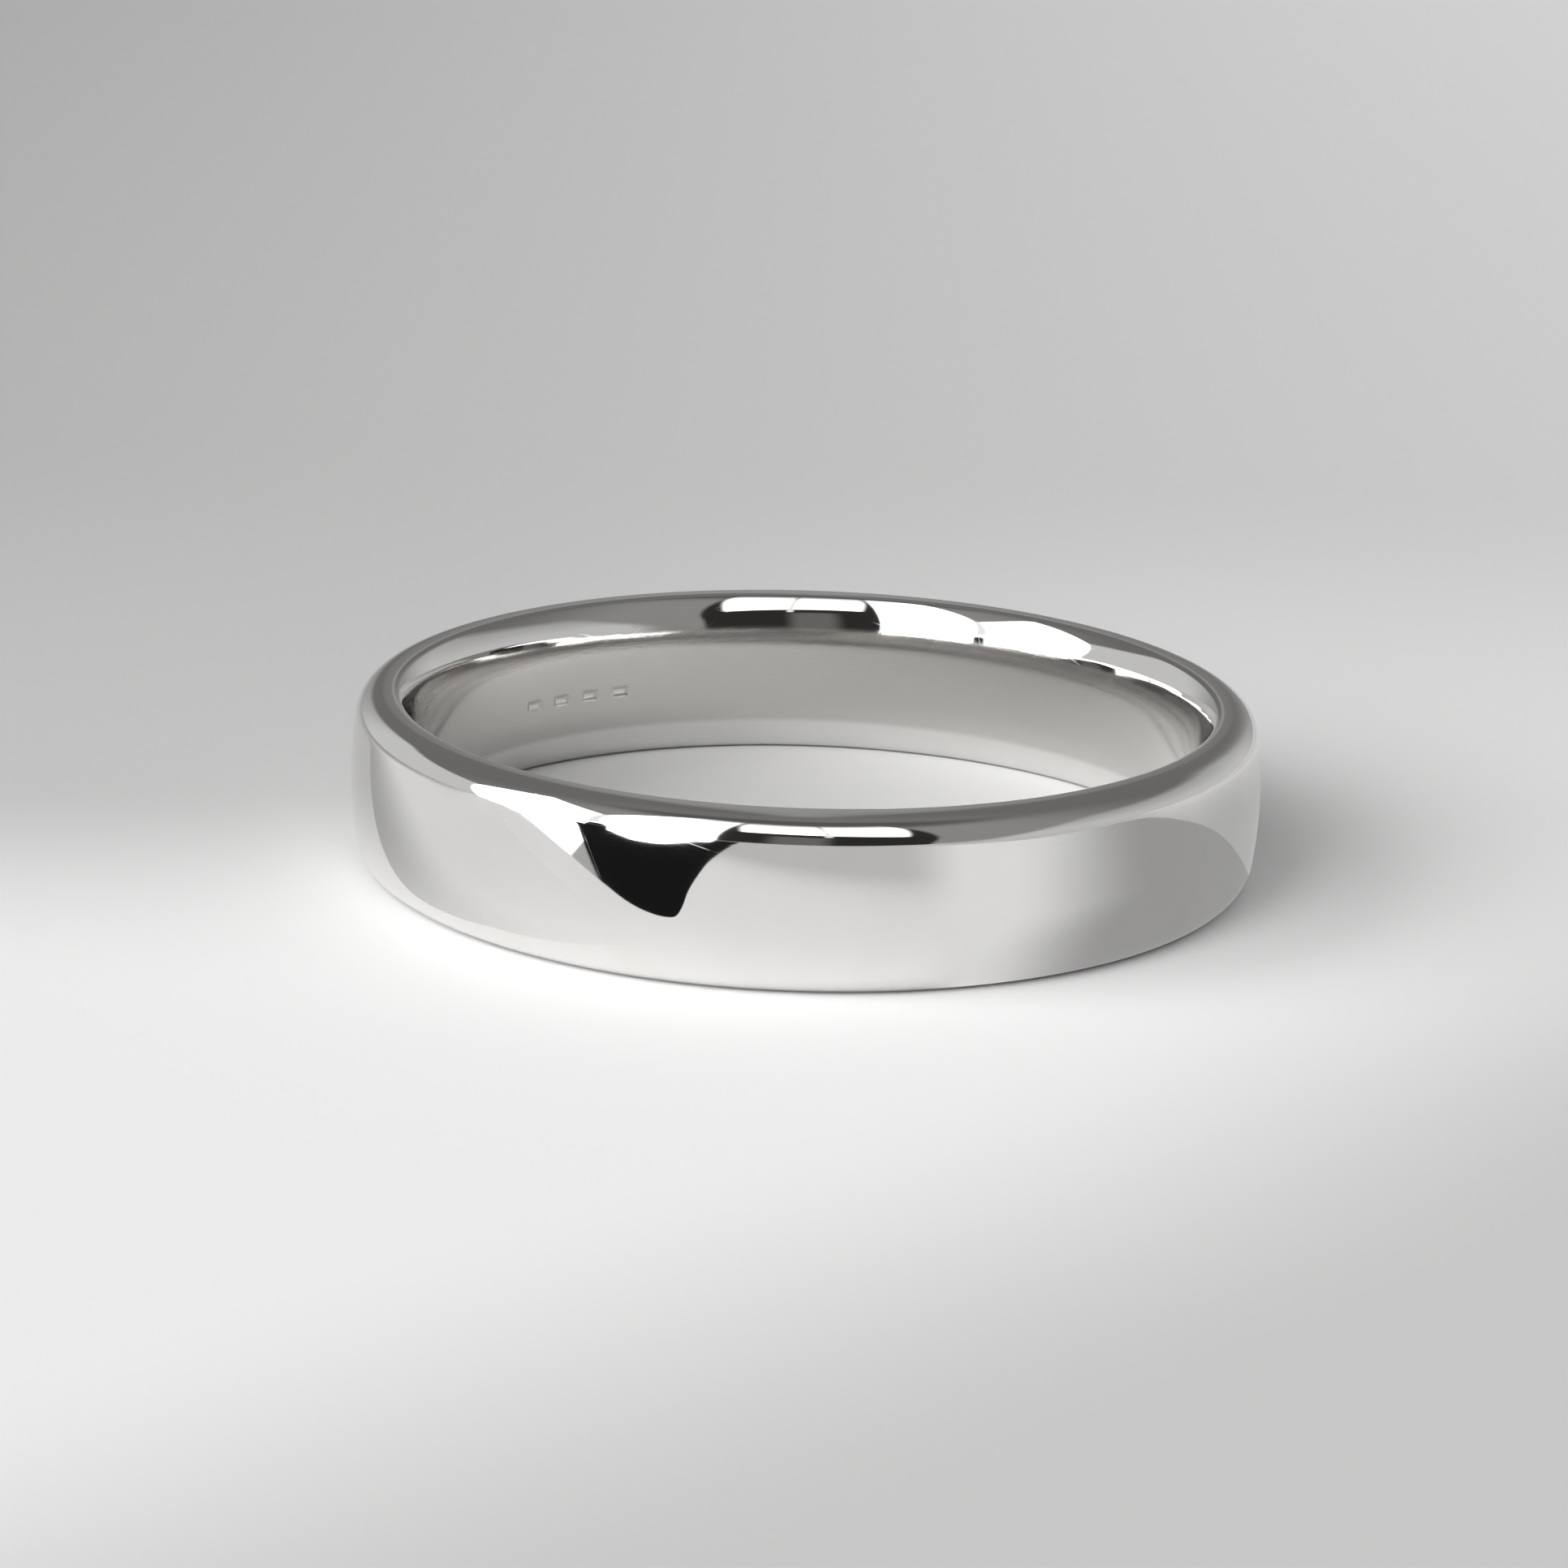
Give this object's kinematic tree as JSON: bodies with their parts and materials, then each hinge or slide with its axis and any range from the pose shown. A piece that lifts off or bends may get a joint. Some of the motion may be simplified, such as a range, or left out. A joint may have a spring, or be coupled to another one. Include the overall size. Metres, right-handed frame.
{
  "type": "wedding band",
  "caption": "Plain wedding band: one polished ring with a domed outside, soft edges, a comfort-fit bore and a short row of blank punch marks inside.",
  "frame": {"origin": "centre of the ring: on the finger axis, halfway across the band's width", "axes": "+Z along the finger axis. The band is the same all round, apart from a short row of blank marks inside it, towards -X and +Y. The band lies on its -Z edge"},
  "size_m": [0.0212, 0.0212, 0.004],
  "materials": {
    "white_gold": "polished"
  },
  "bodies": {
    "root": {"band": "white_gold"}
  },
  "joints": []
}
